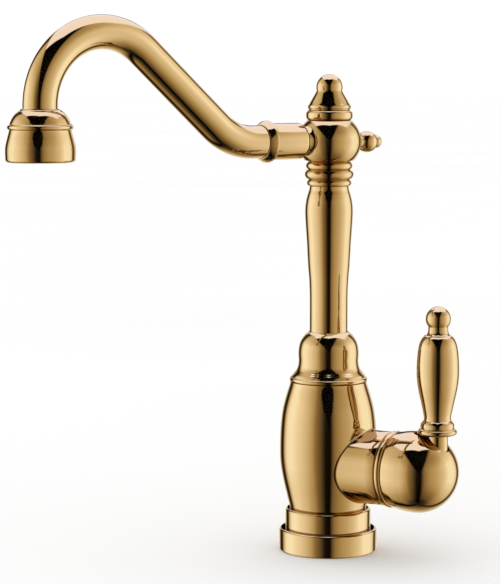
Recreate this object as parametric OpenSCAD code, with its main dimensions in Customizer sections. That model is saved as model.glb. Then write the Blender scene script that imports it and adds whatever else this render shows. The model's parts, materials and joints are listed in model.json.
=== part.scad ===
// Deck-mounted single-lever mixer tap with a swivelling S-shaped spout.
// Millimetres. +Z is up and the origin is the centre of the base, on the deck.
// +X runs along the cartridge housing; the spout's frame is turned by spout_angle about Z.

/* [Base] */
// Radius of the lower base ring
base_r = 29.2; // [28.6:0.1:31]
// Height of the lower base ring
base_h = 13.5; // [12:0.5:14.5]
// Radius of the upper base ring
step_r = 25.5; // [25:0.1:26.5]
// Height of the upper base ring
step_h = 12; // [10:0.5:12.5]

/* [Body] */
// Widest radius of the vase-shaped body
belly_r = 28.9; // [28.5:0.1:30]
// Height of the vase's top edge
vase_top = 101.5; // [100:0.5:103]
// Radius of the bead on top of the vase
bead_r = 23.2; // [22.8:0.1:24]
// Height at which the shoulder cap meets the column
shoulder_top = 131.2; // [130.4:0.1:132.5]

/* [Cartridge housing] */
// Height of the housing's axis
housing_z = 52.8; // [52:0.1:54]
// Outer radius of the housing
housing_r = 21.9; // [21.6:0.1:22.4]
// Distance from the column's axis to the housing's mouth
housing_end = 43; // [42.5:0.1:43.5]
// Radius of the domed bonnet
dome_r = 23.8; // [23.5:0.1:24.2]

/* [Lever] */
// Distance from the column's axis to the lever's axis
lever_x = 73.4; // [73:0.1:74]
// Radius of the lever's stem
stem_r = 6.2; // [6:0.1:6.3]
// Largest radius of the lever's grip
grip_r = 12.4; // [12:0.1:13]
// Height of the lever's tip
lever_top = 150.4; // [149:0.1:152]
// How far the lever tilts towards the column when the tap is fully open
open_tilt = 25; // [20:1:25]

/* [Column and hub] */
// Radius of the column at its foot
column_r = 11.3; // [11:0.1:11.6]
// Largest radius of the column, near its top
column_top_r = 14.2; // [13.8:0.1:14.6]
// Height of the column's top face
column_top = 217.5; // [217:0.1:218]
// Radius of the round hub
hub_r = 18.9; // [18.5:0.1:19.3]
// Height of the hub's centre, and of the spout's arm
arm_z = 244.4; // [244:0.1:245]

/* [Spout] */
// Direction of the spout about Z; 270 is straight to the front
spout_angle = 250; // [200:5:340]
// Outer radius of the spout's tube
tube_r = 9.5; // [9.3:0.1:9.8]
// Radius of both bends, to the tube's centreline
bend_r = 40; // [36:0.5:44]
// Slope of the straight stretch between the bends
slope = 40.5; // [30:0.5:45]
// Length of the straight stretch
straight = 65; // [50:0.5:80]

/* [Hidden] */
$fn = 96;
gold = [0.86, 0.68, 0.38];
brass = [0.75, 0.60, 0.33];
steel = [0.72, 0.72, 0.74];
ceramic = [0.93, 0.91, 0.86];
plastic = [0.88, 0.88, 0.85];
rubber = [0.10, 0.10, 0.10];

// running and sliding clearances on radius
running = 0.05;
gap = 0.3;

// base
base_top = base_h + step_h;
core_r = 20.4;
core_z = 3;
ring_round = 1.6;
gasket_r0 = 22.5;
gasket_r1 = 27;
gasket_h = 2;
// inlets and fixing stud on the body's underside
inlet_x = 4;
inlet_y = 8;
inlet_thread_r = 5;
inlet_thread_h = 17;
passage_r = 3;
stud_x = -10;
stud_r = 4;
stud_h = 18;

// cartridge, stacked along +X from the floor of its cavity
cavity_x = 14;
cavity_r = 17.8;
base_plate_x = 19;
fixed_disc_x = 22;
moving_disc_x = 25.5;
carrier_x = 31;
guide_x = 31.4;
shoulder_x = 34;
shell_end = 46.5;
guide_end = 47;
shell_r = 17.5;
shell_in_r = 15.6;
shell_neck_r = 13.8;
guide_r = 12;
nut_thread_r = 19.1;
nut_in_r = 14;
nut_seat_r = 17.5;
nut_end = 52;
inlet_drop = 4;
outlet_rise = 8;
outlet_r = 4;
seal_w = 1.6;
seal_h = 1.2;

// pivot of the lever, and the ball on the spindle's inner end
pivot_x = 39;
pin_r = 1.5;
pin_half = 9;
spindle_r = 3.6;
ball_arm = 10;
ball_r = 2.2;
ball_neck_r = 1.6;
disc_r = 12.8;
disc_lift = 2.1;
hub_x0 = 56;
hub_x1 = 78;
spindle_end = 68.8;
stem_foot = housing_z + 8.2;
tail_r = 4;

// bonnet dome
dome_x = 61;
dome_rim_x = 47.9;
dome_rim_r = 22.3;
dome_wall = 1.6;
slip_r = 20.4;
slot_r = 6.9;
slot_half = 6.8;
slot_x0 = 78 - open_tilt / 2;

// shoulder, column and swivel
neck_r = 15;
neck_top = vase_top + 12.5;
socket_r = 10.5;
socket_z = vase_top - 1.5;
column_bore = 8;
swivel_r = 9;
swivel_z = 205;
rings_top = 232.3;
hub_bottom = rings_top + gap;
hub_half = 17.4;
hub_centre = 243.8;
hub_top = 256.1;

// spout
arm_r = 10.6;
arm_end = 47.6;
arm_bore = 5;
arm_spigot_r = 7;
bend_u = 57;
tube_bore = 8.2;
// the bends are a hair thicker than the straights that run into them
bend_step = 0.05;
lap = 1;
bell_bottom = 236;
bell_top = 264.5;
leg = 7.75;
reach = bend_u + 2 * bend_r * sin(slope) + straight * cos(slope) + bend_r;

// ---- outlines ----

function blend(a, b, c, d, t) = 0.5 * (2 * b + (c - a) * t + (2 * a - 5 * b + 4 * c - d) * t * t
    + (3 * b - a - 3 * c + d) * t * t * t);

// smooth curve through a list of points, n steps between each two
function smooth(p, n = 3) = concat([for (i = [0 : len(p) - 2], k = [0 : n - 1])
    blend(p[max(i - 1, 0)], p[i], p[i + 1], p[min(i + 2, len(p) - 1)], k / n)], [p[len(p) - 1]]);

function arc(centre, r, from, to, n = 6) = [for (k = [0 : n])
    centre + r * [cos(from + (to - from) * k / n), sin(from + (to - from) * k / n)]];

// outline of a ring with a bore, whose outer edges are rounded by round0 below and round1 above
function ring_outline(r0, r1, z0, z1, round0, round1) = concat(
    [[r0, z1], [r0, z0]],
    arc([r1 - round0, z0 + round0], round0, -90, 0, 4),
    arc([r1 - round1, z1 - round1], round1, 0, 90, 4));

module turned(points) rotate_extrude() polygon(points);

module ring(r0, r1, z0, z1, round0 = 0.4, round1 = 0.4)
    turned(ring_outline(r0, r1, z0, z1, round0, round1));

module tube(r0, r1, z0, z1) translate([0, 0, z0]) difference() {
    cylinder(r = r1, h = z1 - z0);
    translate([0, 0, -1]) cylinder(r = r0, h = z1 - z0 + 2);
}

// turns a shape drawn along Z so that it lies along the housing's axis
module on_housing() translate([0, 0, housing_z]) rotate([0, 90, 0]) children();

// a bore along the housing's axis, dy and dz away from it
module housing_bore(r, x0, x1, dy = 0, dz = 0)
    translate([x0, dy, housing_z + dz]) rotate([0, 90, 0]) cylinder(r = r, h = x1 - x0);

module on_lever() translate([lever_x, 0, 0]) children();

module on_spout() rotate([0, 0, spout_angle]) children();

// ---- base ----

module deck_gasket() color(rubber) tube(gasket_r0, gasket_r1, 0, gasket_h);

module base_flange() color(gold) difference() {
    ring(core_r + running, base_r, 0, base_h, 1.3, ring_round);
    translate([0, 0, -1]) tube(gasket_r0 - 0.1, gasket_r1 + 0.1, 0, gasket_h + 1);
}

module base_collar() color(gold) ring(core_r + running, step_r, base_h, base_top, 0.4, ring_round);

// ---- body ----

// how far the vase is inside its widest radius, at fractions of its height
vase_inset = [[6.1, 0], [4.0, 0.11], [1.7, 0.24], [0.3, 0.36], [0, 0.48], [0.4, 0.64],
    [1.5, 0.77], [3.4, 0.875], [6.0, 0.985], [6.0, 1]];
vase_curve = smooth([for (p = vase_inset)
    [belly_r - p[0], base_top + (vase_top - base_top) * p[1]]], 3);

module valve_body() color(gold) difference() {
    union() {
        translate([0, 0, core_z]) cylinder(r = core_r, h = base_top - core_z + 1);
        turned(concat([[0, base_top]], vase_curve,
            [[neck_r, vase_top], [neck_r, neck_top], [0, neck_top]]));
        housing_bore(housing_r, 0, housing_end);
    }
    housing_bore(cavity_r, cavity_x, housing_end + 1);
    housing_bore(nut_thread_r + running, shoulder_x, housing_end + 1);
    // mixed water, from the cartridge to the column
    housing_bore(outlet_r, 0, cavity_x + 1, 0, outlet_rise);
    translate([0, 0, housing_z + outlet_rise]) cylinder(r = 5, h = vase_top - housing_z);
    translate([0, 0, socket_z]) cylinder(r = socket_r, h = neck_top - socket_z + 1);
    // hot and cold water, from the underside to the cartridge
    for (side = [-1, 1]) {
        translate([inlet_x, side * inlet_y, core_z - 1])
            cylinder(r = inlet_thread_r, h = inlet_thread_h + 1);
        translate([inlet_x, side * inlet_y, core_z])
            cylinder(r = passage_r, h = housing_z - inlet_drop - core_z);
        housing_bore(passage_r, inlet_x, cavity_x + 1, side * inlet_y, -inlet_drop);
    }
    translate([stud_x, 0, core_z - 1]) cylinder(r = stud_r, h = stud_h + 1);
}

module shoulder_ring() color(gold) ring(neck_r + running, bead_r, vase_top, vase_top + 3, 1.45, 1.45);

shoulder_points = [[21.9, vase_top + 3], [21.3, 105.8], [20.2, 107.2], [19.0, 108.8], [18.1, 111],
    [17.8, 114], [17.95, 117], [17.9, 120], [17.5, 122.8], [16.8, 125.2], [15.5, 127.6],
    [13.7, 129.8], [column_r + 0.6, shoulder_top]];

module shoulder_cap() color(gold) difference() {
    turned(concat([[0, vase_top + 3]], smooth(shoulder_points), [[0, shoulder_top]]));
    translate([0, 0, vase_top]) cylinder(r = neck_r + running, h = neck_top - vase_top);
    cylinder(r = column_r + running, h = shoulder_top + 1);
}

module column_seal() color(rubber) tube(column_bore + 0.4, socket_r - 0.3, socket_z, socket_z + 1.4);

column_points = [[column_r, shoulder_top], [column_r, 150], [column_r + 0.3, 161],
    [column_r + 1.1, 171], [column_top_r - 1.1, 184], [column_top_r - 0.4, 194],
    [column_top_r, 203], [column_top_r - 0.5, 208.5], [column_top_r - 1.4, 212.4],
    [column_top_r - 2.3, 215.2], [column_top_r - 2.7, column_top]];

module column() color(gold) difference() {
    turned(concat([[0, socket_z + 1.4], [socket_r - running, socket_z + 1.4],
        [socket_r - running, neck_top], [column_r, neck_top]], smooth(column_points),
        [[0, column_top]]));
    translate([0, 0, socket_z]) cylinder(r = column_bore, h = column_top - socket_z + 1);
    translate([0, 0, swivel_z]) cylinder(r = swivel_r, h = column_top - swivel_z + 1);
}

// three round rings, one above the other
neck_low = [[11.5, column_top], [12.7, 218.1], [13.2, 219.5], [12.8, 220.8], [11.9, 221.4]];
neck_mid = [[11.9, 221.5], [13.6, 222.3], [14.5, 224.4], [13.9, 226.4], [12.3, 227.3]];
neck_high = [[12.4, 227.4], [13.4, 228.2], [13.8, 229.8], [13.2, 231.3], [12.0, rings_top]];
neck_screw_z = 225;

module neck_collar() color(gold) difference() {
    turned(concat([[0, column_top]], smooth(neck_low), smooth(neck_mid), smooth(neck_high),
        [[0, rings_top]]));
    translate([0, 0, column_top - 1]) cylinder(r = swivel_r, h = rings_top - column_top + 2);
    on_spout() translate([-20, 0, neck_screw_z]) rotate([0, 90, 0]) cylinder(r = 2, h = 20);
}

module neck_screw() color(steel) on_spout() translate([0, 0, neck_screw_z]) rotate([0, -90, 0])
    difference() {
        union() {
            translate([0, 0, 8.3]) cylinder(r = 1.3, h = 2);
            translate([0, 0, 9.8]) cylinder(r = 1.95, h = 4.6);
        }
        translate([0, 0, 12.6]) cylinder(r = 1.1, h = 3, $fn = 6);
    }

// ---- cartridge ----

// places one bore at each inlet and one at the outlet
module water_ports(inlet, outlet, x0, x1) {
    for (side = [-1, 1]) housing_bore(inlet, x0, x1, side * inlet_y, -inlet_drop);
    housing_bore(outlet, x0, x1, 0, outlet_rise);
}

module cartridge_base() color(plastic) difference() {
    housing_bore(shell_r, cavity_x, base_plate_x);
    water_ports(passage_r, outlet_r, cavity_x - 1, base_plate_x + 1);
    water_ports(passage_r + seal_w + 0.2, outlet_r + seal_w + 0.2, cavity_x - 1, cavity_x + seal_h);
}

module cartridge_seals() color(rubber) difference() {
    water_ports(passage_r + seal_w, outlet_r + seal_w, cavity_x, cavity_x + seal_h);
    water_ports(passage_r + 0.2, outlet_r + 0.2, cavity_x - 1, cavity_x + seal_h + 1);
}

module fixed_disc() color(ceramic) difference() {
    housing_bore(14.5, base_plate_x, fixed_disc_x);
    water_ports(2.8, 3.8, base_plate_x - 1, fixed_disc_x + 1);
}

module cartridge_shell() color(plastic) difference() {
    union() {
        housing_bore(shell_r, base_plate_x, shoulder_x);
        housing_bore(shell_neck_r, shoulder_x, shell_end);
    }
    housing_bore(shell_in_r, base_plate_x - 1, shoulder_x - 0.1);
    housing_bore(guide_r + running, base_plate_x, shell_end + 1);
}

module cartridge_nut() color(brass) difference() {
    union() {
        housing_bore(nut_thread_r, shoulder_x, housing_end + 4.5);
        housing_bore(nut_seat_r, housing_end, nut_end);
    }
    housing_bore(nut_in_r, shoulder_x - 1, nut_end + 1);
}

// ring between housing and dome: a bead between two grooves
module trim_ring() color(gold) on_housing() turned(concat(
    [[nut_thread_r + running, housing_end + 4.5], [nut_thread_r + running, housing_end],
        [21.0, housing_end]],
    arc([20.6, housing_end + 2.3], 2.05, -76, 76, 8), [[21.0, housing_end + 4.5]]));

module bonnet_slip_ring() color(plastic) on_housing()
    tube(nut_seat_r + running, slip_r, 48.2, nut_end - 0.2);

module at_disc() translate([0, 0, disc_lift]) children();

module moving_disc() color(ceramic) difference() {
    at_disc() housing_bore(disc_r, fixed_disc_x, moving_disc_x);
    intersection() {
        at_disc() housing_bore(disc_r - 2, fixed_disc_x - 1, fixed_disc_x + 1.3);
        translate([fixed_disc_x - 1, -9.5, housing_z]) cube([4, 19, 12.5]);
    }
}

module disc_carrier() color(plastic) difference() {
    at_disc() housing_bore(disc_r - 0.4, moving_disc_x, carrier_x);
    housing_bore(ball_r + 0.3, moving_disc_x + 1.1, carrier_x + 1);
}

module spindle_guide() color(plastic) difference() {
    union() {
        housing_bore(shell_in_r - 1.6, guide_x, shoulder_x - 0.2);
        housing_bore(guide_r, guide_x, guide_end);
    }
    translate([guide_x - 1, -spindle_r - 0.3, housing_z - 6.8]) cube([9, 2 * spindle_r + 0.6, 11]);
    translate([guide_x + 4, -spindle_r - 0.3, housing_z - spindle_r - 0.4])
        cube([20, 2 * spindle_r + 0.6, 2 * spindle_r + 5]);
    translate([pivot_x, -pin_half, housing_z]) rotate([-90, 0, 0]) cylinder(r = pin_r, h = 2 * pin_half);
}

module pivot_pin() color(steel) translate([pivot_x, -pin_half, housing_z]) rotate([-90, 0, 0])
    cylinder(r = pin_r, h = 2 * pin_half);

// ---- bonnet ----

// the slot that the lever's stem moves in, cut straight down into the dome
module stem_slot() translate([0, 0, housing_z + 7.2]) {
    for (x = [slot_x0, lever_x + 0.2]) translate([x, 0, 0]) cylinder(r = slot_r, h = 30);
    translate([slot_x0, -slot_half, 0]) cube([lever_x + 0.2 - slot_x0, 2 * slot_half, 30]);
}

module bonnet_dome() color(gold) difference() {
    on_housing() turned(concat(
        [[0, dome_rim_x], [dome_rim_r - 0.6, dome_rim_x], [dome_rim_r, dome_rim_x + 0.5]],
        smooth([[dome_rim_r + 0.5, 50.5], [dome_r - 0.4, 54], [dome_r - 0.08, 57.6], [dome_r, dome_x]]),
        arc([0, dome_x], dome_r, 8, 90, 14)));
    on_housing() turned(concat(
        [[0, dome_rim_x - 1], [slip_r + running, dome_rim_x - 1], [slip_r + running, 53]],
        [[dome_r - dome_wall - 0.2, 55]],
        arc([0, dome_x], dome_r - dome_wall, 0, 90, 14)));
    stem_slot();
}

// ---- lever ----

module spindle() color(steel) difference() {
    union() {
        translate([pivot_x - ball_arm, 0, housing_z]) sphere(r = ball_r);
        housing_bore(ball_neck_r, pivot_x - ball_arm, pivot_x);
        housing_bore(spindle_r, shoulder_x, spindle_end);
    }
    translate([pivot_x, -10, housing_z]) rotate([-90, 0, 0]) cylinder(r = pin_r + running, h = 20);
}

module lever_hub() color(brass) difference() {
    union() {
        housing_bore(stem_r, hub_x0, hub_x1);
        on_lever() translate([0, 0, housing_z]) cylinder(r = stem_r, h = stem_foot - housing_z);
    }
    housing_bore(spindle_r, hub_x0 - 1, spindle_end);
    on_lever() translate([0, 0, stem_foot - 4]) cylinder(r = tail_r, h = 5);
    translate([hub_x0 + 6, 0, housing_z - stem_r - 1]) cylinder(r = 2.4, h = stem_r + 1);
}

module lever_set_screw() color(steel) translate([hub_x0 + 6, 0, housing_z - stem_r + 0.2]) difference() {
    cylinder(r = 2.35, h = stem_r - spindle_r - 0.3);
    translate([0, 0, -1]) cylinder(r = 1.25, h = 2.4, $fn = 6);
}

collar_z = 75.8;
collar_top = 84.2;
grip_top = 133.7;

module lever_stem() color(gold) on_lever() {
    translate([0, 0, stem_foot - 3.8]) cylinder(r = tail_r - running, h = 4);
    translate([0, 0, stem_foot]) cylinder(r = stem_r, h = collar_z - stem_foot);
    translate([0, 0, collar_z - 0.2]) cylinder(r = tail_r - running, h = 22);
}

module lever_collar() color(gold) on_lever() turned(concat(
    [[tail_r, collar_top], [tail_r, collar_z], [9.9, collar_z]],
    arc([9.6, collar_z + 1.8], 1.8, -80, 75, 6),
    smooth([[9.75, collar_z + 4.0], [9.9, collar_z + 5.2], [9.5, collar_z + 6.7],
        [8.7, collar_z + 7.8], [8.1, collar_top]])));

grip_points = [[8.1, collar_top], [7.9, 85.6], [8.1, 87.4], [8.6, 89.8], [9.7, 94.8],
    [10.9, 100], [11.8, 105], [grip_r - 0.1, 110.5], [grip_r - 0.1, 116], [grip_r - 0.4, 121.5],
    [grip_r - 1.0, 126.2], [grip_r - 1.9, 129.6], [grip_r - 3.1, 132], [grip_r - 4.2, 133.2],
    [grip_r - 5.0, grip_top]];

module lever_grip() color(gold) on_lever() difference() {
    turned(concat([[0, collar_top]], smooth(grip_points), [[0, grip_top]]));
    translate([0, 0, collar_top - 1]) cylinder(r = tail_r, h = 15);
    translate([0, 0, grip_top - 8]) cylinder(r = 3, h = 9);
}

tip_r = 7.3;

module lever_ball() color(gold) on_lever() turned(concat(
    [[0, grip_top - 7], [2.95, grip_top - 7], [2.95, grip_top]],
    smooth([[7.2, grip_top], [6.7, grip_top + 0.5], [6.1, grip_top + 1.4], [5.8, grip_top + 2.8],
        [5.75, grip_top + 4.8]], 2),
    arc([0, lever_top - tip_r], tip_r, -37, 90, 12)));

// ---- swivel, hub and finial ----

oring_z = [208, 213];
oring_h = 2.2;
slip_z = 228.5;
slip_h = 2.5;

module hub_stem() color(brass) difference() {
    tube(6, swivel_r - running, swivel_z + 1, hub_bottom + 6.4);
    for (z = oring_z) tube(7.5, 12, z, z + oring_h);
    tube(7.8, 12, neck_screw_z - 2, neck_screw_z + 2);
    tube(7.9, 12, slip_z, slip_z + slip_h);
}

module swivel_o_rings() color(rubber) for (z = oring_z) tube(7.5, swivel_r - 0.02, z, z + oring_h);

module swivel_slip_ring() color(plastic) tube(7.9, swivel_r - 0.03, slip_z, slip_z + slip_h);

knob_z = 243.2;
knob_neck_r = 3.6;

// turns a shape drawn along Z so that it points away from the spout, at the rear knob's height
module behind_hub() on_spout() translate([0, 0, knob_z]) rotate([0, -90, 0]) children();

function hub_outline(n) = let (a0 = asin((hub_bottom - hub_centre) / hub_half),
    a1 = asin((hub_top - hub_centre) / hub_half)) [for (k = [0 : n]) let (a = a0 + (a1 - a0) * k / n)
    [hub_r * cos(a), hub_centre + hub_half * sin(a)]];

module hub_solid() turned(concat([[0, hub_bottom]], hub_outline(20), [[0, hub_top]]));

module spout_hub() color(gold) difference() {
    hub_solid();
    translate([0, 0, hub_bottom - 1]) cylinder(r = swivel_r, h = 7.4);
    translate([0, 0, hub_bottom + 6]) cylinder(r = 7, h = 12);
    translate([0, 0, hub_top - 7.2]) cylinder(r = 8, h = 8);
    on_spout() translate([0, 0, arm_z]) rotate([0, 90, 0]) {
        cylinder(r = arm_bore, h = 20);
        translate([0, 0, 11]) cylinder(r = arm_spigot_r, h = 10);
    }
    behind_hub() translate([0, 0, 11]) cylinder(r = knob_neck_r + running, h = 9);
}

ring_z = 262.2;

module finial_ring() color(gold) ring(8, 13.8, hub_top, ring_z, 2.3, 2.3);

finial_points = [[12.2, ring_z + 0.5], [12.75, 263.6], [12.6, 264.8], [11.7, 266.3],
    [10.4, 268.6], [9.0, 271.0], [7.95, 272.8], [7.6, 273.8]];
finial_ball_r = 7.8;
finial_ball_z = 275.6;

module finial() color(gold) turned(concat(
    [[0, hub_top - 7], [8 - running, hub_top - 7], [8 - running, ring_z], [12.2, ring_z]],
    smooth(finial_points), arc([0, finial_ball_z], finial_ball_r, -13, 90, 12)));

// a neck, a bulb and a small ball
module rear_knob() color(gold) behind_hub() turned(concat(
    [[0, 12], [knob_neck_r, 12], [knob_neck_r, 23.7]],
    arc([0, 28.9], 6.4, -54, 53, 12), arc([0, 35.2], 4, -17, 90, 8)));

// ---- spout ----

module along_spout() translate([0, 0, arm_z]) rotate([0, 90, 0]) children();

// the arm's rounded end stands on a waisted neck that runs out on the hub
module spout_arm() color(gold) on_spout() difference() {
    union() {
        difference() {
            along_spout() turned(concat([[0, 14.2], [8.6, 14.2]],
                arc([12.4, 20.8], 5.4, -135, -180, 5),
                arc([arm_spigot_r, 24.4], arm_r - arm_spigot_r, -90, 0, 6),
                [[arm_r, arm_end], [0, arm_end]]));
            hub_solid();
        }
        along_spout() translate([0, 0, 11]) cylinder(r = arm_spigot_r - running, h = 10);
    }
    along_spout() cylinder(r = arm_bore, h = arm_end + 1);
}

module arm_ferrule() color(gold) on_spout() along_spout() difference() {
    turned(concat([[tube_r + running, arm_end - 2.3]],
        arc([11.2, arm_end - 1.4], 0.9, -90, 0, 4), [[12.1, arm_end - 0.3], [11.9, arm_end + 0.2],
        [10.1, arm_end + 3.4], [tube_r + running, arm_end + 3.4]]));
    cylinder(r = arm_r + running, h = arm_end);
}

// a bend of radius bend_r in the upright plane, centred on the origin
module bend(r, from, sweep) rotate([90, 0, 0]) rotate([0, 0, from])
    rotate_extrude(angle = sweep) translate([bend_r, 0]) circle(r = r);

// the tube's whole path, each stretch placed in the frame of the one before it; the straights
// reach a little way into the bends, and past both ends of the tube
module spout_path(r_bend, r_straight, past) translate([bend_u, 0, arm_z + bend_r]) {
    translate([arm_end - bend_u - past, 0, -bend_r]) rotate([0, 90, 0])
        cylinder(r = r_straight, h = bend_u - arm_end + past + lap);
    bend(r_bend, 270, slope);
    rotate([0, -slope, 0]) {
        translate([-lap, 0, -bend_r]) rotate([0, 90, 0])
            cylinder(r = r_straight, h = straight + 2 * lap);
        translate([straight, 0, -2 * bend_r]) {
            bend(r_bend, 90, -90 - slope);
            rotate([0, slope, 0]) translate([bend_r, 0, -leg - past])
                cylinder(r = r_straight, h = leg + past + lap);
        }
    }
}

module spout_tube() color(gold) on_spout() difference() {
    spout_path(tube_r, tube_r - bend_step, 0);
    spout_path(tube_bore + 0.2, tube_bore, 1);
}

bell_points = [[10.6, bell_top], [11.0, 263.8], [12.3, 262.9], [13.9, 261.4], [15.3, 259.3],
    [16.4, 256.9]];
skirt_points = [[16.9, 252.3], [17.4, 250.4], [18.1, 247.8], [18.8, 244.6], [19.0, 241.6],
    [18.9, 238.8]];

module aerator_housing() color(gold) on_spout() translate([reach, 0, 0]) difference() {
    turned(concat([[0, bell_top]], smooth(bell_points), arc([16.3, 254.7], 1.5, 80, -75, 6),
        smooth(skirt_points), arc([17.1, 237.8], 1.8, 10, -90, 5), [[0, bell_bottom]]));
    translate([0, 0, 258]) cylinder(r = tube_r + running, h = 8);
    translate([0, 0, 255]) cylinder(r = tube_bore, h = 4);
    translate([0, 0, 239]) cylinder(r = 12.05, h = 17);
    translate([0, 0, bell_bottom - 1]) cylinder(r = 15.2, h = 4);
}

module aerator_washer() color(rubber) on_spout() translate([reach, 0, 0]) tube(8.6, 11.8, 254.4, 256);

module aerator_cage() color(gold) on_spout() translate([reach, 0, 0]) difference() {
    union() {
        translate([0, 0, 238.4]) cylinder(r = 12, h = 16);
        translate([0, 0, 237.4]) cylinder(r = 13.6, h = 1.6);
    }
    translate([0, 0, 236]) cylinder(r = 10.4, h = 20);
}

// round insert with rings of through holes
module aerator_insert() color(plastic) on_spout() translate([reach, 0, 0]) difference() {
    translate([0, 0, 239.2]) cylinder(r = 10.35, h = 12);
    for (k = [1 : 3], i = [0 : 6 * k - 1]) rotate([0, 0, i * 60 / k])
        translate([2.8 * k, 0, 238]) cylinder(r = 1, h = 15);
}

deck_gasket();
base_flange();
base_collar();
valve_body();
shoulder_ring();
shoulder_cap();
column_seal();
column();
neck_collar();
neck_screw();
cartridge_base();
cartridge_seals();
fixed_disc();
cartridge_shell();
cartridge_nut();
trim_ring();
bonnet_slip_ring();
moving_disc();
disc_carrier();
spindle_guide();
pivot_pin();
bonnet_dome();
spindle();
lever_hub();
lever_set_screw();
lever_stem();
lever_collar();
lever_grip();
lever_ball();
hub_stem();
swivel_o_rings();
swivel_slip_ring();
spout_hub();
finial_ring();
finial();
rear_knob();
spout_arm();
arm_ferrule();
spout_tube();
aerator_housing();
aerator_washer();
aerator_cage();
aerator_insert();
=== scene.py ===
import json
from math import asin, cos, degrees, pi, radians, sin, sqrt

import bmesh
import bpy
from mathutils import Matrix, Vector


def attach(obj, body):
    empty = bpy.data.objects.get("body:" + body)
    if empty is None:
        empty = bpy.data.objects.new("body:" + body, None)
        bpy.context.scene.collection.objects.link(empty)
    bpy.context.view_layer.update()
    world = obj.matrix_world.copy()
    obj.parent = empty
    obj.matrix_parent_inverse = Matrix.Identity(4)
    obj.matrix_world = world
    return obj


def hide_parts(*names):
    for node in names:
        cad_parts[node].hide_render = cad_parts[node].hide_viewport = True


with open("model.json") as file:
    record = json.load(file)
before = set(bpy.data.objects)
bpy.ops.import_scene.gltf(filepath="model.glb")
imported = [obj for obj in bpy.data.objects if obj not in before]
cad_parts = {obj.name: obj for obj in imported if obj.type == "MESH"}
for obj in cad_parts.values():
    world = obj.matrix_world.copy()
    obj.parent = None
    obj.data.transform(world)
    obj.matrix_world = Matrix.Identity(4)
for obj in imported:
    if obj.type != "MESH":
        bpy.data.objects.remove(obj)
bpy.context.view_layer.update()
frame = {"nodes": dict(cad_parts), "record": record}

# ---- measures, in millimetres: the same as in the part's own source ----

MM, TINY = 0.001, 1e-6
# clearance between pieces that fit in each other
RUNNING = 0.05

# base, vase and shoulder
BASE_R, BASE_H = 29.2, 13.5
STEP_R, STEP_H = 25.5, 12.0
BASE_TOP = BASE_H + STEP_H
CORE_R, CORE_Z = 20.4, 3.0
BELLY_R, VASE_TOP = 28.9, 101.5
BEAD_R, SHOULDER_TOP = 23.2, 131.2
NECK_R, NECK_TOP = 15.0, VASE_TOP + 12.5

# housing and dome, by their distance along the housing
HOUSING_Z, HOUSING_R, HOUSING_END = 52.8, 21.9, 43.0
NUT_THREAD_R, SLIP_R = 19.1, 20.4
DOME_R, DOME_X, DOME_WALL = 23.8, 61.0, 1.6
DOME_RIM_R, DOME_RIM_X = 22.3, 47.9

# bores in the body: the cartridge's cavity, the inlets, the stud's hole and the mixed water's way
CAVITY_R, CAVITY_X, CAVITY_STEP_X = 17.8, 14, 34
INLET_X, INLET_Y, INLET_R, INLET_H = 4, 8, 5, 17
INLET_DROP, PASSAGE_R = 4, 3
STUD_X, STUD_R, STUD_H = -10, 4, 18
OUTLET_R, OUTLET_RISE, RISER_R = 4, 8, 5

# lever
LEVER_X, LEVER_TOP = 73.4, 150.4
TAIL_R, TAIL_DOWN, TAIL_UP = 4.0, 3.8, 21.8
STEM_R, STEM_FOOT = 6.2, HOUSING_Z + 8.2
COLLAR_Z, COLLAR_TOP = 75.8, 84.2
GRIP_R, GRIP_TOP = 12.4, 133.7
TIP_R, TIP_THREAD_R = 7.3, 3.0
SLOT_R, SLOT_X0, SLOT_X1 = 6.9, 65.5, LEVER_X + 0.2

# column and the rings on it
COLUMN_R, COLUMN_TOP_R, COLUMN_TOP, COLUMN_BORE = 11.3, 14.2, 217.5, 8.0
SOCKET_R, SOCKET_Z = 10.5, VASE_TOP - 1.5
SWIVEL_R, SWIVEL_Z = 9.0, 205.0
RINGS_TOP, SCREW_Z, SCREW_R = 232.3, 225, 2

# hub, finial and back knob
HUB_R, HUB_HALF, HUB_CENTRE = 18.9, 17.4, 243.8
HUB_BOTTOM, HUB_TOP = RINGS_TOP + 0.3, 256.1
HUB_BORE, HUB_SEAT = 7, HUB_BOTTOM + 6.4
THREAD_R, THREAD_END = 8, HUB_TOP - 7.2
RING_R, RING_Z = 13.8, 262.2
FINIAL_BALL_R, FINIAL_BALL_Z = 7.8, 275.6
KNOB_Z, KNOB_NECK_R = 243.2, 3.6

# arm, spout and bell
ARM_Z, ARM_R, ARM_END = 244.4, 10.6, 47.6
ARM_BORE, ARM_NECK_R, SPIGOT_R = 5.0, 8.6, 7.0
TUBE_R, TUBE_BORE, BEND_R = 9.5, 8.2, 40.0
SLOPE, STRAIGHT, BEND_U, LEG = 40.5, 65.0, 57.0, 7.75
SPOUT_ANGLE = 250.0
REACH = BEND_U + 2 * BEND_R * sin(radians(SLOPE)) + STRAIGHT * cos(radians(SLOPE)) + BEND_R
BELL_BOTTOM, BELL_TOP = 236.0, 264.5
MOUTH_R, CAGE_R = 15.2, 12.05

# how finely a turning is divided, and the angle in degrees from which an edge is sharp
SEGMENTS, CREASE = 192, 35

# ---- places ----

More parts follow.
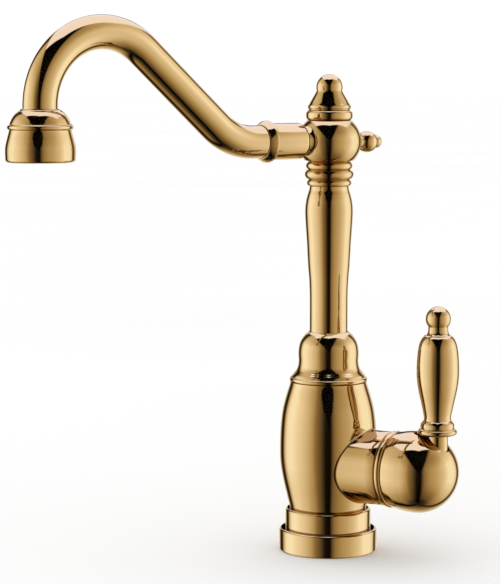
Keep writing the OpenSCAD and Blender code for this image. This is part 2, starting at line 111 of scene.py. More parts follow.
UPRIGHT = Matrix.Identity(4)
ON_LEVER = Matrix.Translation((LEVER_X, 0, 0))
ON_HOUSING = Matrix.Translation((0, 0, HOUSING_Z)) @ Matrix.Rotation(pi / 2, 4, "Y")
ON_SPOUT = Matrix.Rotation(radians(SPOUT_ANGLE), 4, "Z")
ALONG_ARM = ON_SPOUT @ Matrix.Translation((0, 0, ARM_Z)) @ Matrix.Rotation(pi / 2, 4, "Y")
AT_SCREW = ON_SPOUT @ Matrix.Translation((0, 0, SCREW_Z)) @ Matrix.Rotation(-pi / 2, 4, "Y")
BEHIND_HUB = ON_SPOUT @ Matrix.Translation((0, 0, KNOB_Z)) @ Matrix.Rotation(-pi / 2, 4, "Y")
AT_OUTLET = ON_SPOUT @ Matrix.Translation((REACH, 0, 0))

# ---- outlines: lists of (radius, height) ----


def smooth(points, steps=12):
    """A smooth curve through the points."""
    def blend(a, b, c, d, t):
        return 0.5 * (2 * b + (c - a) * t + (2 * a - 5 * b + 4 * c - d) * t * t
                      + (3 * b - a - 3 * c + d) * t ** 3)
    last = len(points) - 1
    made = []
    for i in range(last):
        four = [points[max(i - 1, 0)], points[i], points[i + 1], points[min(i + 2, last)]]
        for k in range(steps):
            made.append(tuple(blend(*(p[j] for p in four), k / steps) for j in (0, 1)))
    return made + [tuple(points[-1])]


def arc(centre, r, start, end, steps=16):
    """Points on a circle, from one angle in degrees to another."""
    angles = [radians(start + (end - start) * k / steps) for k in range(steps + 1)]
    return [(centre[0] + r * cos(a), centre[1] + r * sin(a)) for a in angles]


def ring_outline(r0, r1, z0, z1, round0, round1):
    """A ring between two radii and two heights; its outer edges are rounded, the lower first."""
    return ([(r0, z1), (r0, z0)]
            + arc((r1 - round0, z0 + round0), round0, -90, 0)
            + arc((r1 - round1, z1 - round1), round1, 0, 90))


def eased(outline, size=0.3, steps=4, sharp=25):
    """The closed outline with each corner off the axis rounded a little, as polishing leaves it."""
    made, n = [], len(outline)
    for i, p in enumerate(outline):
        before, after = Vector(outline[i - 1]), Vector(outline[(i + 1) % n])
        p = Vector(p)
        u, v = before - p, after - p
        if min(p.x, u.length, v.length) < TINY:
            made.append(tuple(p))
            continue
        if 180 - degrees(u.angle(v)) < sharp:
            made.append(tuple(p))
            continue
        cut = min(size, 0.45 * u.length, 0.45 * v.length)
        a, b = p + u.normalized() * cut, p + v.normalized() * cut
        for k in range(steps + 1):
            t = k / steps
            made.append(tuple(a * (1 - t) ** 2 + p * 2 * t * (1 - t) + b * t ** 2))
    return made


# ---- mesh makers ----


def piece_from(name, verts, faces, place=UPRIGHT):
    """An object of that mesh, in metres, with doubled points merged and faces turned outwards."""
    mesh = bpy.data.meshes.new(name)
    mesh.from_pydata([place @ Vector(v) * MM for v in verts], [], faces)
    bm = bmesh.new()
    bm.from_mesh(mesh)
    bmesh.ops.remove_doubles(bm, verts=bm.verts, dist=1e-7)
    bmesh.ops.dissolve_degenerate(bm, edges=bm.edges, dist=1e-8)
    bmesh.ops.recalc_face_normals(bm, faces=bm.faces)
    bm.to_mesh(mesh)
    bm.free()
    shade(mesh)
    piece = bpy.data.objects.new(name, mesh)
    bpy.context.scene.collection.objects.link(piece)
    return piece


def shade(mesh):
    """Smooth shading with sharp creases."""
    mesh.shade_smooth()
    mesh.set_sharp_from_angle(angle=radians(CREASE))


def turned(name, outline, place=UPRIGHT, start=None, segments=SEGMENTS):
    """A closed outline turned about its axis. start(angle, radius) is the height at which a
    piece that grows out of another's surface begins; the outline's first points lie below it."""
    verts, rings = [], []
    for r, z in outline:
        if r < TINY:
            rings.append([len(verts)])
            verts.append((0, 0, z))
            continue
        rings.append(list(range(len(verts), len(verts) + segments)))
        for k in range(segments):
            a = 2 * pi * k / segments
            height = max(z, start(a, r)) if start else z
            verts.append((r * cos(a), r * sin(a), height))
    faces = []
    for i, low in enumerate(rings):
        high = rings[(i + 1) % len(rings)]
        if len(low) == 1 and len(high) == 1:
            continue
        for k in range(segments):
            j = (k + 1) % segments
            if len(low) == 1:
                faces.append((low[0], high[k], high[j]))
            elif len(high) == 1:
                faces.append((low[k], high[0], low[j]))
            else:
                faces.append((low[k], high[k], high[j], low[j]))
    return piece_from(name, verts, faces, place)


def swept(name, path, r, bore, place, segments=96):
    """A round tube along a path of (u, z) points and their headings in the upright plane."""
    rows = [(at, r) for at in path] + [(at, bore) for at in reversed(path)]
    verts, faces = [], []
    for ((u, z), heading), row_r in rows:
        side = (-sin(heading), cos(heading))
        for k in range(segments):
            a = 2 * pi * k / segments
            out = row_r * cos(a)
            verts.append((u + out * side[0], row_r * sin(a), z + out * side[1]))
    for i in range(len(rows)):
        for k in range(segments):
            j = (k + 1) % segments
            row, above = i * segments, (i + 1) % len(rows) * segments
            faces.append((row + k, row + j, above + j, above + k))
    return piece_from(name, verts, faces, place)


def cut(piece, cutter):
    """Takes the cutter's space out of the piece."""
    tool = piece.modifiers.new("cut", "BOOLEAN")
    tool.object = cutter
    tool.operation = "DIFFERENCE"
    tool.solver = "EXACT"
    bpy.context.view_layer.update()
    depsgraph = bpy.context.evaluated_depsgraph_get()
    mesh = bpy.data.meshes.new_from_object(piece.evaluated_get(depsgraph))
    piece.modifiers.clear()
    piece.data = mesh
    bpy.data.objects.remove(cutter)
    shade(mesh)


def drill(piece, place, start, *steps):
    """A round hole along the place's axis: each step is a radius and the height it goes to. Its
    facets are turned a little, so that their corners don't fall on the piece's own."""
    outline = [(0, start)]
    for r, end in steps:
        outline += [(r, outline[-1][1]), (r, end)]
    place = place @ Matrix.Rotation(radians(1), 4, "Z")
    cut(piece, turned("drill", outline + [(0, outline[-1][1])], place, segments=96))


# ---- materials ----


def new_material(name):
    """A material with its nodes, its links and its shader."""
    material = bpy.data.materials.new(name)
    material.use_nodes = True
    nodes, links = material.node_tree.nodes, material.node_tree.links
    return material, nodes, links, nodes["Principled BSDF"]


def noise(nodes, links, scale, detail, stretch=(1, 1, 1)):
    """Cloudy noise over the piece, from 0 to 1; a larger scale is finer."""
    place = nodes.new("ShaderNodeTexCoord")
    mapping = nodes.new("ShaderNodeMapping")
    mapping.inputs["Scale"].default_value = stretch
    texture = nodes.new("ShaderNodeTexNoise")
    texture.inputs["Scale"].default_value = scale
    texture.inputs["Detail"].default_value = detail
    links.new(place.outputs["Object"], mapping.inputs["Vector"])
    links.new(mapping.outputs["Vector"], texture.inputs["Vector"])
    return texture.outputs["Fac"]


def ramp(nodes, links, source, stops):
    """A colour by the source's value: the stops are pairs of value and colour."""
    node = nodes.new("ShaderNodeValToRGB")
    elements = node.color_ramp.elements
    while len(elements) < len(stops):
        elements.new(0.5)
    for element, (at, colour) in zip(elements, stops):
        element.position = at
        element.color = (*colour, 1)
    links.new(source, node.inputs["Fac"])
    return node.outputs["Color"]


def spread(nodes, links, source, low, high):
    """The source's 0 to 1 stretched to low to high."""
    node = nodes.new("ShaderNodeMapRange")
    node.inputs["To Min"].default_value = low
    node.inputs["To Max"].default_value = high
    links.new(source, node.inputs["Value"])
    return node.outputs["Result"]


def bump(nodes, links, shader, height, strength, distance):
    """Gives the shader a relief of that height, up to the distance in metres."""
    node = nodes.new("ShaderNodeBump")
    node.inputs["Strength"].default_value = strength
    node.inputs["Distance"].default_value = distance
    links.new(height, node.inputs["Height"])
    links.new(node.outputs["Normal"], shader.inputs["Normal"])


def polished_gold():
    """Mirror-polished gold with a faint cloud in its colour, wipe marks and a slight waviness."""
    material, nodes, links, shader = new_material("polished_gold")
    shader.inputs["Metallic"].default_value = 1
    cloud = noise(nodes, links, 22, 2)
    tone = ramp(nodes, links, cloud, [(0.3, (0.935, 0.64, 0.30)), (0.7, (0.965, 0.665, 0.322))])
    links.new(tone, shader.inputs["Base Color"])
    wiped = noise(nodes, links, 160, 5, (1, 1, 0.25))
    links.new(spread(nodes, links, wiped, 0.03, 0.085), shader.inputs["Roughness"])
    bump(nodes, links, shader, noise(nodes, links, 90, 2), 0.04, 0.0003)
    return material


def machined(name, dark, light, roughness, turns):
    """Bare metal with fine turning marks."""
    material, nodes, links, shader = new_material(name)
    shader.inputs["Metallic"].default_value = 1
    marks = noise(nodes, links, turns, 4, (0.15, 0.15, 1))
    links.new(ramp(nodes, links, marks, [(0.3, dark), (0.7, light)]), shader.inputs["Base Color"])
    links.new(spread(nodes, links, marks, roughness, roughness + 0.2), shader.inputs["Roughness"])
    bump(nodes, links, shader, marks, 0.25, 0.0002)
    return material


def moulded(name, dark, light, roughness, grain):
    """Plastic, rubber or ceramic, with a fine grain."""
    material, nodes, links, shader = new_material(name)
    speck = noise(nodes, links, grain, 4)
    links.new(ramp(nodes, links, speck, [(0.3, dark), (0.7, light)]), shader.inputs["Base Color"])
    links.new(spread(nodes, links, speck, roughness, roughness + 0.15), shader.inputs["Roughness"])
    bump(nodes, links, shader, speck, 0.15, 0.0001)
    return material


MATERIALS = {
    "polished_gold": polished_gold(),
    "raw_brass": machined("raw_brass", (0.55, 0.38, 0.14), (0.72, 0.52, 0.24), 0.25, 900),
    "steel": machined("steel", (0.42, 0.42, 0.43), (0.6, 0.6, 0.61), 0.22, 1200),
    "ceramic": moulded("ceramic", (0.78, 0.75, 0.68), (0.86, 0.83, 0.77), 0.12, 600),
    "white_plastic": moulded("white_plastic", (0.66, 0.66, 0.63), (0.76, 0.76, 0.73), 0.4, 800),
    "black_rubber": moulded("black_rubber", (0.012, 0.012, 0.012), (0.028, 0.028, 0.027), 0.55, 700),
}


def finish(piece, body, stands_for=()):
    """Gives the piece its gold, and the body that it rides on."""
    piece.data.materials.clear()
    piece.data.materials.append(MATERIALS["polished_gold"])
    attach(piece, body)
    if stands_for:
        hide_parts(*stands_for)


# ---- base and body ----

finish(turned("flange", eased(ring_outline(CORE_R + RUNNING, BASE_R, 0, BASE_H, 1.3, 1.6))),
       "fixed_body", stands_for=["base_flange"])
finish(turned("collar_step", eased(ring_outline(CORE_R + RUNNING, STEP_R, BASE_H, BASE_TOP,
                                                0.4, 1.6))),
       "fixed_body", stands_for=["base_collar"])

VASE_INSET = [(6.1, 0), (4.0, 0.11), (1.7, 0.24), (0.3, 0.36), (0, 0.48), (0.4, 0.64),
              (1.5, 0.77), (3.4, 0.875), (6.0, 0.985), (6.0, 1)]
vase_curve = smooth([(BELLY_R - inset, BASE_TOP + (VASE_TOP - BASE_TOP) * at)
                     for inset, at in VASE_INSET])
vase = turned("vase", eased([(0, CORE_Z), (CORE_R, CORE_Z), (CORE_R, BASE_TOP)] + vase_curve
                            + [(NECK_R, VASE_TOP), (NECK_R, NECK_TOP), (SOCKET_R, NECK_TOP),
                               (SOCKET_R, SOCKET_Z), (RISER_R, SOCKET_Z),
                               (RISER_R, HOUSING_Z), (0, HOUSING_Z)]))
drill(vase, ON_HOUSING, CAVITY_X, (CAVITY_R, HOUSING_END))
drill(vase, Matrix.Translation((0, 0, OUTLET_RISE)) @ ON_HOUSING, 0, (OUTLET_R, CAVITY_X + 1))
drill(vase, Matrix.Translation((STUD_X, 0, 0)), CORE_Z - 1, (STUD_R, CORE_Z + STUD_H))
for side_y in (-INLET_Y, INLET_Y):
    at_inlet = Matrix.Translation((INLET_X, side_y, 0))
    drill(vase, at_inlet, CORE_Z - 1, (INLET_R, CORE_Z + INLET_H),
          (PASSAGE_R, HOUSING_Z - INLET_DROP))
    drill(vase, Matrix.Translation((0, 0, -INLET_DROP)) @ at_inlet @ ON_HOUSING, 0,
          (PASSAGE_R - 0.1, CAVITY_X - INLET_X + 1))
finish(vase, "fixed_body", stands_for=["valve_body"])


def vase_radius(z):
    """The vase's radius at a height, and 0 above and below it."""
    for (r0, z0), (r1, z1) in zip(vase_curve, vase_curve[1:]):
        if z0 <= z <= z1:
            return r0 + (r1 - r0) * (z - z0) / (z1 - z0)
    return 0


def vase_side(a, r):
    """Distance along the housing at which its wall, at angle a and radius r, meets the vase."""
    across, up = r * sin(a), -r * cos(a)
    return sqrt(max(vase_radius(HOUSING_Z + up) ** 2 - across ** 2, 0))


def barrel(fillet=0.7, sink=0.6, steps=8):
    """The side housing: it leaves the vase in a small fillet and ends in an eased mouth."""
    thread_r = NUT_THREAD_R + RUNNING
    around = [2 * pi * k / SEGMENTS for k in range(SEGMENTS)]
    turns = [radians(90 * k / steps) for k in range(steps + 1)]
    foot = [(HOUSING_R + fillet, -sink)]
    foot += [(HOUSING_R + fillet * (1 - sin(t)), fillet * (1 - cos(t))) for t in turns]
    mouth = [(HOUSING_R, HOUSING_END - 6), (HOUSING_R, HOUSING_END - 0.4),
             (HOUSING_R - 0.12, HOUSING_END - 0.12), (HOUSING_R - 0.4, HOUSING_END),
             (thread_r, HOUSING_END), (thread_r, CAVITY_STEP_X)]
    verts = [(r * cos(a), r * sin(a), vase_side(a, r) + off) for r, off in foot for a in around]
    verts += [(r * cos(a), r * sin(a), z) for r, z in mouth for a in around]
    faces = []
    last = len(foot) + len(mouth) - 1
    for i in range(last):
        for k in range(SEGMENTS):
            j = (k + 1) % SEGMENTS
            row, above = i * SEGMENTS, (i + 1) * SEGMENTS
            faces.append((row + k, row + j, above + j, above + k))
    for row, z in ((0, CAVITY_X), (last * SEGMENTS, CAVITY_STEP_X)):
        verts.append((0, 0, z))
        for k in range(SEGMENTS):
            faces.append((row + k, row + (k + 1) % SEGMENTS, len(verts) - 1))
    made = piece_from("barrel", verts, faces, ON_HOUSING)
    drill(made, ON_HOUSING, CAVITY_X - 1, (CAVITY_R, HOUSING_END))
    return made


finish(barrel(), "fixed_body")

finish(turned("shoulder_bead", eased(ring_outline(NECK_R + RUNNING, BEAD_R, VASE_TOP,
                                                  VASE_TOP + 3, 1.45, 1.45))),
       "fixed_body", stands_for=["shoulder_ring"])

SHOULDER = [(21.9, VASE_TOP + 3), (21.3, 105.8), (20.2, 107.2), (19.0, 108.8), (18.1, 111),
            (17.8, 114), (17.95, 117), (17.9, 120), (17.5, 122.8), (16.8, 125.2), (15.5, 127.6),
            (13.7, 129.8), (COLUMN_R + 0.6, SHOULDER_TOP)]
finish(turned("shoulder", eased([(NECK_R + RUNNING, VASE_TOP + 3)] + smooth(SHOULDER)
                                + [(COLUMN_R + RUNNING, SHOULDER_TOP),
                                   (COLUMN_R + RUNNING, NECK_TOP), (NECK_R + RUNNING, NECK_TOP)])),
       "fixed_body", stands_for=["shoulder_cap"])

COLUMN = [(COLUMN_R, SHOULDER_TOP), (COLUMN_R, 150), (COLUMN_R + 0.3, 161),
          (COLUMN_R + 1.1, 171), (COLUMN_TOP_R - 1.1, 184), (COLUMN_TOP_R - 0.4, 194),
          (COLUMN_TOP_R, 203), (COLUMN_TOP_R - 0.5, 208.5), (COLUMN_TOP_R - 1.4, 212.4),
          (COLUMN_TOP_R - 2.3, 215.2), (COLUMN_TOP_R - 2.7, COLUMN_TOP)]
finish(turned("tall_column", eased([(COLUMN_BORE, SOCKET_Z + 1.4),
                                    (SOCKET_R - RUNNING, SOCKET_Z + 1.4),
                                    (SOCKET_R - RUNNING, NECK_TOP), (COLUMN_R, NECK_TOP)]
                                   + smooth(COLUMN)
                                   + [(SWIVEL_R, COLUMN_TOP), (SWIVEL_R, SWIVEL_Z),
                                      (COLUMN_BORE, SWIVEL_Z)])),
       "fixed_body", stands_for=["column"])

NECK_RINGS = [
    [(11.5, COLUMN_TOP), (12.7, 218.1), (13.2, 219.5), (12.8, 220.8), (11.9, 221.4)],
    [(11.9, 221.5), (13.6, 222.3), (14.5, 224.4), (13.9, 226.4), (12.3, 227.3)],
    [(12.4, 227.4), (13.4, 228.2), (13.8, 229.8), (13.2, 231.3), (12.0, RINGS_TOP)]]
neck = turned("neck_rings", eased([(SWIVEL_R, RINGS_TOP), (SWIVEL_R, COLUMN_TOP)]
                                  + sum([smooth(ring) for ring in NECK_RINGS], []), 0.15))
drill(neck, AT_SCREW, 0, (SCREW_R, 20))
finish(neck, "fixed_body", stands_for=["neck_collar"])

# ---- housing ring and dome ----

finish(turned("housing_ring", eased([
    (NUT_THREAD_R + RUNNING, HOUSING_END + 4.5), (NUT_THREAD_R + RUNNING, HOUSING_END),
    (21.0, HOUSING_END)]
    + arc((20.6, HOUSING_END + 2.3), 2.05, -76, 76, 32)
    + [(21.0, HOUSING_END + 4.5)], 0.2), ON_HOUSING),
    "fixed_body", stands_for=["trim_ring"])

dome = turned("dome", eased(
    [(SLIP_R + RUNNING, DOME_RIM_X), (DOME_RIM_R - 0.6, DOME_RIM_X)]
    + arc((DOME_RIM_R - 0.6, DOME_RIM_X + 0.6), 0.6, -90, -10, 6)
    + smooth([(DOME_RIM_R + 0.1, DOME_RIM_X + 0.7), (DOME_RIM_R + 0.5, 50.5),
              (DOME_R - 0.4, 54), (DOME_R - 0.08, 57.6), (DOME_R, DOME_X)], 16)
    + arc((0, DOME_X), DOME_R, 3, 90, 60)
    + arc((0, DOME_X), DOME_R - DOME_WALL, 90, 0, 48)
    + [(DOME_R - DOME_WALL - 0.2, 55), (SLIP_R + RUNNING, 53)], 0.2), ON_HOUSING, segments=256)


def slot_cutter():
    """The stem's slot, cut straight down: a bar with round ends."""
    steps = 32
    rim = [(SLOT_X1 + SLOT_R * cos(a), SLOT_R * sin(a))
           for a in (radians(-90 + 180 * k / steps) for k in range(steps + 1))]
    rim += [(SLOT_X0 + SLOT_R * cos(a), SLOT_R * sin(a))
            for a in (radians(90 + 180 * k / steps) for k in range(steps + 1))]
    n, low, high = len(rim), HOUSING_Z + 7.2, HOUSING_Z + 40
    verts = [(x, y, low) for x, y in rim] + [(x, y, high) for x, y in rim]
    faces = [tuple(range(n)), tuple(range(n, 2 * n))]
    faces += [(k, (k + 1) % n, n + (k + 1) % n, n + k) for k in range(n)]
    return piece_from("slot_cutter", verts, faces)


cut(dome, slot_cutter())
finish(dome, "bonnet", stands_for=["bonnet_dome"])

# ---- lever ----

finish(turned("stem", eased([(0, STEM_FOOT - TAIL_DOWN),
                             (TAIL_R - RUNNING, STEM_FOOT - TAIL_DOWN),
                             (TAIL_R - RUNNING, STEM_FOOT), (STEM_R, STEM_FOOT),
                             (STEM_R, COLLAR_Z), (TAIL_R - RUNNING, COLLAR_Z),
                             (TAIL_R - RUNNING, COLLAR_Z + TAIL_UP), (0, COLLAR_Z + TAIL_UP)]),
              ON_LEVER, segments=128),
       "lever", stands_for=["lever_stem"])

finish(turned("lever_ring", eased(
    [(TAIL_R, COLLAR_TOP), (TAIL_R, COLLAR_Z), (9.9, COLLAR_Z)]
    + arc((9.6, COLLAR_Z + 1.8), 1.8, -80, 75)
    + smooth([(9.75, COLLAR_Z + 4.0), (9.9, COLLAR_Z + 5.2), (9.5, COLLAR_Z + 6.7),
              (8.7, COLLAR_Z + 7.8), (8.1, COLLAR_TOP)]), 0.15), ON_LEVER),
    "lever", stands_for=["lever_collar"])

GRIP = [(8.1, COLLAR_TOP), (7.9, 85.6), (8.1, 87.4), (8.6, 89.8), (9.7, 94.8), (10.9, 100),
        (11.8, 105), (GRIP_R - 0.1, 110.5), (GRIP_R - 0.1, 116), (GRIP_R - 0.4, 121.5),
        (GRIP_R - 1.0, 126.2), (GRIP_R - 1.9, 129.6), (GRIP_R - 3.1, 132), (GRIP_R - 4.2, 133.2),
        (GRIP_R - 5.0, GRIP_TOP)]
finish(turned("grip", eased([(TAIL_R, COLLAR_TOP)] + smooth(GRIP)
                            + [(TIP_THREAD_R, GRIP_TOP), (TIP_THREAD_R, GRIP_TOP - 8),
                               (0, GRIP_TOP - 8), (0, COLLAR_TOP + 14),
                               (TAIL_R, COLLAR_TOP + 14)]), ON_LEVER),
       "lever", stands_for=["lever_grip"])

finish(turned("lever_tip", eased(
    [(0, GRIP_TOP - 7), (TIP_THREAD_R - RUNNING, GRIP_TOP - 7),
     (TIP_THREAD_R - RUNNING, GRIP_TOP)]
    + smooth([(7.2, GRIP_TOP), (6.7, GRIP_TOP + 0.5), (6.1, GRIP_TOP + 1.4),
              (5.8, GRIP_TOP + 2.8), (5.75, GRIP_TOP + 4.8)], 8)
    + arc((0, LEVER_TOP - TIP_R), TIP_R, -37, 90, 40), 0.15), ON_LEVER, segments=128),
    "lever", stands_for=["lever_ball"])

# ---- hub and finial ----


def hub_arc(steps=64):
    """The hub's outline, a flattened circle between its bottom and its top."""
    low, high = asin((HUB_BOTTOM - HUB_CENTRE) / HUB_HALF), asin((HUB_TOP - HUB_CENTRE) / HUB_HALF)
    angles = [low + (high - low) * k / steps for k in range(steps + 1)]
    return [(HUB_R * cos(a), HUB_CENTRE + HUB_HALF * sin(a)) for a in angles]


finish(turned("hub", eased([(HUB_BORE, HUB_SEAT), (SWIVEL_R, HUB_SEAT),
                            (SWIVEL_R, HUB_BOTTOM)] + hub_arc()
                           + [(THREAD_R, HUB_TOP), (THREAD_R, THREAD_END),
                              (HUB_BORE, THREAD_END)])),
       "spout", stands_for=["spout_hub"])

finish(turned("finial_bead", eased(ring_outline(THREAD_R, RING_R, HUB_TOP, RING_Z,
                                                2.3, 2.3), 0.2)),
       "spout", stands_for=["finial_ring"])

FINIAL = [(12.2, RING_Z + 0.5), (12.75, 263.6), (12.6, 264.8), (11.7, 266.3), (10.4, 268.6),
          (9.0, 271.0), (7.95, 272.8), (7.6, 273.8)]
finish(turned("finial_turning", eased(
    [(0, HUB_TOP - 7), (THREAD_R - RUNNING, HUB_TOP - 7), (THREAD_R - RUNNING, RING_Z),
     (12.2, RING_Z)]
    + smooth(FINIAL) + arc((0, FINIAL_BALL_Z), FINIAL_BALL_R, -13, 90, 40), 0.2)),
    "spout", stands_for=["finial"])

# ---- arm and spout ----


def hub_side(a, r):
    """Distance from the swivel's axis at which the arm, at angle a and radius r, meets the hub."""
    across, up = r * sin(a), ARM_Z - r * cos(a) - HUB_CENTRE
    reach = HUB_R * sqrt(max(1 - (up / HUB_HALF) ** 2, 0))
    return sqrt(max(reach ** 2 - across ** 2, 0)) - 0.3


finish(turned("back_knob", eased(
    [(0, 12), (KNOB_NECK_R, 12), (KNOB_NECK_R, 23.7)]
    + arc((0, 28.9), 6.4, -54, 53, 40) + arc((0, 35.2), 4, -17, 90, 32), 0.2),
    BEHIND_HUB, segments=128),
    "spout", stands_for=["rear_knob"])

finish(turned("arm", eased(
    [(ARM_BORE, 8), (ARM_NECK_R, 8), (ARM_NECK_R, 14.2)] + arc((12.4, 20.8), 5.4, -135, -180, 24)
    + arc((SPIGOT_R, 24.4), ARM_R - SPIGOT_R, -90, 0, 24)
    + [(ARM_R, ARM_END), (ARM_BORE, ARM_END)], 0.3), ALONG_ARM, hub_side),
    "spout", stands_for=["spout_arm"])

finish(turned("ferrule", eased(
    [(TUBE_R + RUNNING, ARM_END - 2.3)] + arc((11.2, ARM_END - 1.4), 0.9, -90, 0)
    + [(12.1, ARM_END - 0.3), (11.9, ARM_END + 0.2), (10.1, ARM_END + 3.4),
       (TUBE_R + RUNNING, ARM_END + 3.4)], 0.2), ALONG_ARM),
    "spout", stands_for=["arm_ferrule"])


def spout_line(step=1.5):
    """Points and headings along the tube's centre line, in its upright plane."""
    slope = radians(SLOPE)
    u1, z1 = BEND_U + BEND_R * sin(slope), ARM_Z + BEND_R * (1 - cos(slope))
    u2 = u1 + STRAIGHT * cos(slope) + BEND_R * sin(slope)
    z2 = z1 + STRAIGHT * sin(slope) - BEND_R * cos(slope)
    made = []

    def run(start, heading, length):
        n = max(int(length / step), 1)
        for k in range(n + 1):
            d = length * k / n
            made.append(((start[0] + d * cos(heading), start[1] + d * sin(heading)), heading))

    def bend(centre, first, last, turn):
        n = int(abs(last - first) * BEND_R / step)
        for k in range(1, n):
            a = first + (last - first) * k / n
            made.append(((centre[0] + BEND_R * cos(a), centre[1] + BEND_R * sin(a)),
                         a + turn * pi / 2))

    run((ARM_END, ARM_Z), 0, BEND_U - ARM_END)
    bend((BEND_U, ARM_Z + BEND_R), -pi / 2, -pi / 2 + slope, 1)
    run((u1, z1), slope, STRAIGHT)
    bend((u2, z2), pi / 2 + slope, 0, -1)
    run((u2 + BEND_R, z2), -pi / 2, LEG)
    return made


finish(swept("tube", spout_line(), TUBE_R, TUBE_BORE, ON_SPOUT), "spout", stands_for=["spout_tube"])

BELL = [(10.6, BELL_TOP), (11.0, 263.8), (12.3, 262.9), (13.9, 261.4), (15.3, 259.3),
        (16.4, 256.9)]
SKIRT = [(16.9, 252.3), (17.4, 250.4), (18.1, 247.8), (18.8, 244.6), (19.0, 241.6),
         (18.9, 238.8)]
finish(turned("bell", eased(
    [(TUBE_R + RUNNING, BELL_TOP)] + smooth(BELL) + arc((16.3, 254.7), 1.5, 80, -75)
    + smooth(SKIRT) + arc((17.1, 237.8), 1.8, 10, -90)
    + [(MOUTH_R, BELL_BOTTOM), (MOUTH_R, BELL_BOTTOM + 3), (CAGE_R, BELL_BOTTOM + 3),
       (CAGE_R, 256), (TUBE_BORE, 256), (TUBE_BORE, 258), (TUBE_R + RUNNING, 258)], 0.2),
    AT_OUTLET),
    "spout", stands_for=["aerator_housing"])

# ---- CAD nodes that stay ----

slot_of = {s["node"]: s["material_slot"] for s in frame["record"]["subparts"]}
for name, node in frame["nodes"].items():
    if node.hide_render:
        continue
    if not node.data.materials:
        node.data.materials.append(None)
    for index in range(len(node.data.materials)):
        node.data.materials[index] = MATERIALS[slot_of[name]]

# ---- camera ----

EYE = Vector((651.8, -1089.4, 279.8)) * MM
AHEAD = Vector((-0.5420, 0.8346, -0.0981)).normalized()
# the sensor's width and the focal length, in millimetres
SENSOR, LENS = 36, 154.8

camera_data = bpy.data.cameras.new("camera")
camera_data.sensor_fit = "HORIZONTAL"
camera_data.sensor_width = SENSOR
camera_data.lens = LENS
camera = bpy.data.objects.new("camera", camera_data)
camera.location = EYE
camera.rotation_euler = AHEAD.to_track_quat("-Z", "Y").to_euler()
bpy.context.scene.collection.objects.link(camera)
bpy.context.scene.camera = camera

# ---- studio ----

# what the metal mirrors: the light's level by turn from the front, in degrees, right positive
LEVELS = [(-180, 0.95), (-168, 0.85), (-158, 0.45), (-151, 0.06), (-143, 0), (-136, 0.06),
          (-129, 0.6), (-118, 0.97), (-100, 1.0), (-88, 0.95), (-70, 0.84), (-54, 0.66),
          (-42, 0.51), (-32, 0.27), (-22, 0.14), (-14, 0.05), (-9, 0.01), (4, 0.005), (8, 0.11),
          (15, 0.28), (30, 0.43), (52, 0.57), (66, 0.69), (78, 0.83), (90, 0.98), (116, 0.98),
          (128, 0.82), (136, 0.06), (144, 0.08), (152, 0.68), (180, 0.92)]
# how much of it is left, by the sine of the height
HEIGHTS = [(-1, 0.02), (-0.97, 0.08), (-0.93, 0.25), (-0.85, 0.4), (-0.7, 0.65), (-0.5, 0.87),
           (-0.3, 0.98), (0.25, 0.98), (0.42, 0.84), (0.6, 0.64), (0.75, 0.58), (1, 0.58)]
# and its colour, by level
TONES = [(0, (0, 0, 0)), (0.1, (0.1, 0.08, 0.05)), (0.22, (0.22, 0.165, 0.09)),
         (0.3, (0.3, 0.235, 0.13)), (0.42, (0.42, 0.365, 0.23)), (0.53, (0.53, 0.475, 0.35)),
         (0.62, (0.62, 0.605, 0.52)), (0.78, (0.78, 0.77, 0.77)), (0.9, (0.9, 0.955, 0.97)),
         (1, (1.03, 1.2, 1.45))]
CEILING = (0.94, 1.03, 1.5)
# where the front gap opens on the left and on the right, as height over distance sideways
GAP_LEFT, GAP_RIGHT = (1.2, 1.45), (1.7, 2.6)
# where the ceiling ends on each side, as distance sideways over height; and at the front, as
# distance ahead over height, which is less further sideways by the slant; and its least height
CEILING_LEFT, CEILING_RIGHT, CEILING_AHEAD = (0.68, 0.82), (0.9, 1.2), (0.32, 0.38)
CEILING_SLANT, CEILING_LOW = 0.4, (0.3, 0.45)
# the middle, where left and right meet, and the least value that is divided by
MIDDLE, NEAR_ZERO = (-0.02, 0.02), 0.001
# the bounce from which light has gone between the parts, and the part of it that is lost then
BOUNCE, BOUNCE_LOSS = (1.2, 1.8), 0.5
# the white that lights the floor and fills the background
WHITE_STRENGTH = 1.06


def floor(half=30):
    """A pale matt floor that the metal doesn't mirror."""
    mesh = bpy.data.meshes.new("floor")
    mesh.from_pydata([(-half, -half, 0), (half, -half, 0), (half, half, 0), (-half, half, 0)], [],
                     [(0, 1, 2, 3)])
    material, nodes, links, shader = new_material("pale_floor")
    shader.inputs["Roughness"].default_value = 0.9
    shader.inputs["Specular IOR Level"].default_value = 0
    shade_of = noise(nodes, links, 1.5, 1)
    links.new(ramp(nodes, links, shade_of, [(0.3, (0.93, 0.93, 0.925)), (0.7, (0.95, 0.95, 0.95))]),
              shader.inputs["Base Color"])
    mesh.materials.append(material)
    plane = bpy.data.objects.new("floor", mesh)
    bpy.context.scene.collection.objects.link(plane)
    plane.visible_glossy = False


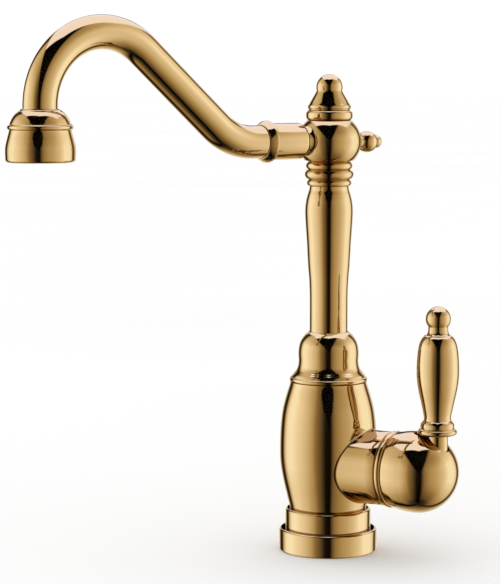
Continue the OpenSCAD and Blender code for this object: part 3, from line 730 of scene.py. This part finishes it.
def studio_world():
    """White all round. What the polished metal mirrors is a photographer's tent: a large soft
    light on each side, a dark gap at the front that widens upwards, a pale ceiling and a floor
    that is dark under the tap."""
    world = bpy.data.worlds.new("studio")
    bpy.context.scene.world = world
    world.use_nodes = True
    nodes, links = world.node_tree.nodes, world.node_tree.links
    nodes.clear()
    front = Vector((-AHEAD.x, -AHEAD.y, 0)).normalized()
    side = Vector((-front.y, front.x, 0))
    place = nodes.new("ShaderNodeTexCoord")

    def dot(vector):
        """How far the direction that is looked in goes along the vector."""
        node = nodes.new("ShaderNodeVectorMath")
        node.operation = "DOT_PRODUCT"
        links.new(place.outputs["Generated"], node.inputs[0])
        node.inputs[1].default_value = vector
        return node.outputs["Value"]

    def maths(operation, *values):
        node = nodes.new("ShaderNodeMath")
        node.operation = operation
        for socket, value in zip(node.inputs, values):
            if isinstance(value, (int, float)):
                socket.default_value = value
            else:
                links.new(value, socket)
        return node.outputs[0]

    def rising(value, limits):
        """0 below the first limit, 1 above the second, smooth between them."""
        node = nodes.new("ShaderNodeMapRange")
        node.interpolation_type = "SMOOTHSTEP"
        node.inputs["From Min"].default_value = limits[0]
        node.inputs["From Max"].default_value = limits[1]
        links.new(value, node.inputs["Value"])
        return node.outputs["Result"]

    def falling(value, limits):
        return maths("SUBTRACT", 1.0, rising(value, limits))

    def lay(amount, under, over):
        """The plain colour over, laid on what is under it."""
        node = nodes.new("ShaderNodeMix")
        node.data_type = "RGBA"
        links.new(amount, node.inputs["Factor"])
        sockets = [socket for socket in node.inputs if socket.type == "RGBA"]
        links.new(under, sockets[0])
        sockets[1].default_value = (*over, 1)
        return [socket for socket in node.outputs if socket.type == "RGBA"][0]

    def grey(level):
        return (level, level, level)

    ahead, across, up = dot(front), dot(side), dot((0, 0, 1))
    wide = maths("ABSOLUTE", across)
    on_left, on_right = falling(across, MIDDLE), rising(across, MIDDLE)
    turn = maths("MULTIPLY_ADD", maths("ARCTAN2", across, ahead), 0.5 / pi, 0.5)
    level = ramp(nodes, links, turn, [(0.5 + angle / 360, grey(part)) for angle, part in LEVELS])
    height = maths("MULTIPLY_ADD", up, 0.5, 0.5)
    kept = ramp(nodes, links, height, [(0.5 + sine / 2, grey(part)) for sine, part in HEIGHTS])
    level = maths("MULTIPLY", level, kept)

    # the dark gap at the front widens upwards, further on the left than on the right
    above = maths("DIVIDE", up, maths("MAXIMUM", wide, NEAR_ZERO))
    gap = maths("ADD", maths("MULTIPLY", on_left, rising(above, GAP_LEFT)),
                maths("MULTIPLY", on_right, rising(above, GAP_RIGHT)))
    level = maths("MULTIPLY", level, maths("SUBTRACT", 1.0, gap))
    lit = ramp(nodes, links, level, TONES)

    overhead = maths("MAXIMUM", up, NEAR_ZERO)
    sideways = maths("DIVIDE", wide, overhead)
    forward = maths("MULTIPLY_ADD", sideways, CEILING_SLANT, maths("DIVIDE", ahead, overhead))
    ceiling = maths("ADD", maths("MULTIPLY", on_right, falling(sideways, CEILING_RIGHT)),
                    maths("MULTIPLY", on_left, falling(sideways, CEILING_LEFT)))
    ceiling = maths("MULTIPLY", ceiling, falling(forward, CEILING_AHEAD))
    ceiling = maths("MULTIPLY", ceiling, rising(up, CEILING_LOW))
    lit = lay(ceiling, lit, CEILING)

    # light that has bounced between the parts comes back weaker
    ray = nodes.new("ShaderNodeLightPath")
    lost = maths("MULTIPLY", rising(ray.outputs["Glossy Depth"], BOUNCE), BOUNCE_LOSS)
    lit = lay(lost, lit, (0, 0, 0))

    mirrored = nodes.new("ShaderNodeBackground")
    links.new(lit, mirrored.inputs["Color"])
    plain = nodes.new("ShaderNodeBackground")
    plain.inputs["Color"].default_value = (1, 1, 1, 1)
    plain.inputs["Strength"].default_value = WHITE_STRENGTH
    chosen = nodes.new("ShaderNodeMixShader")
    links.new(ray.outputs["Is Glossy Ray"], chosen.inputs["Fac"])
    links.new(plain.outputs[0], chosen.inputs[1])
    links.new(mirrored.outputs[0], chosen.inputs[2])
    output = nodes.new("ShaderNodeOutputWorld")
    links.new(chosen.outputs[0], output.inputs["Surface"])


floor()
studio_world()
bpy.context.scene.view_settings.view_transform = "Standard"
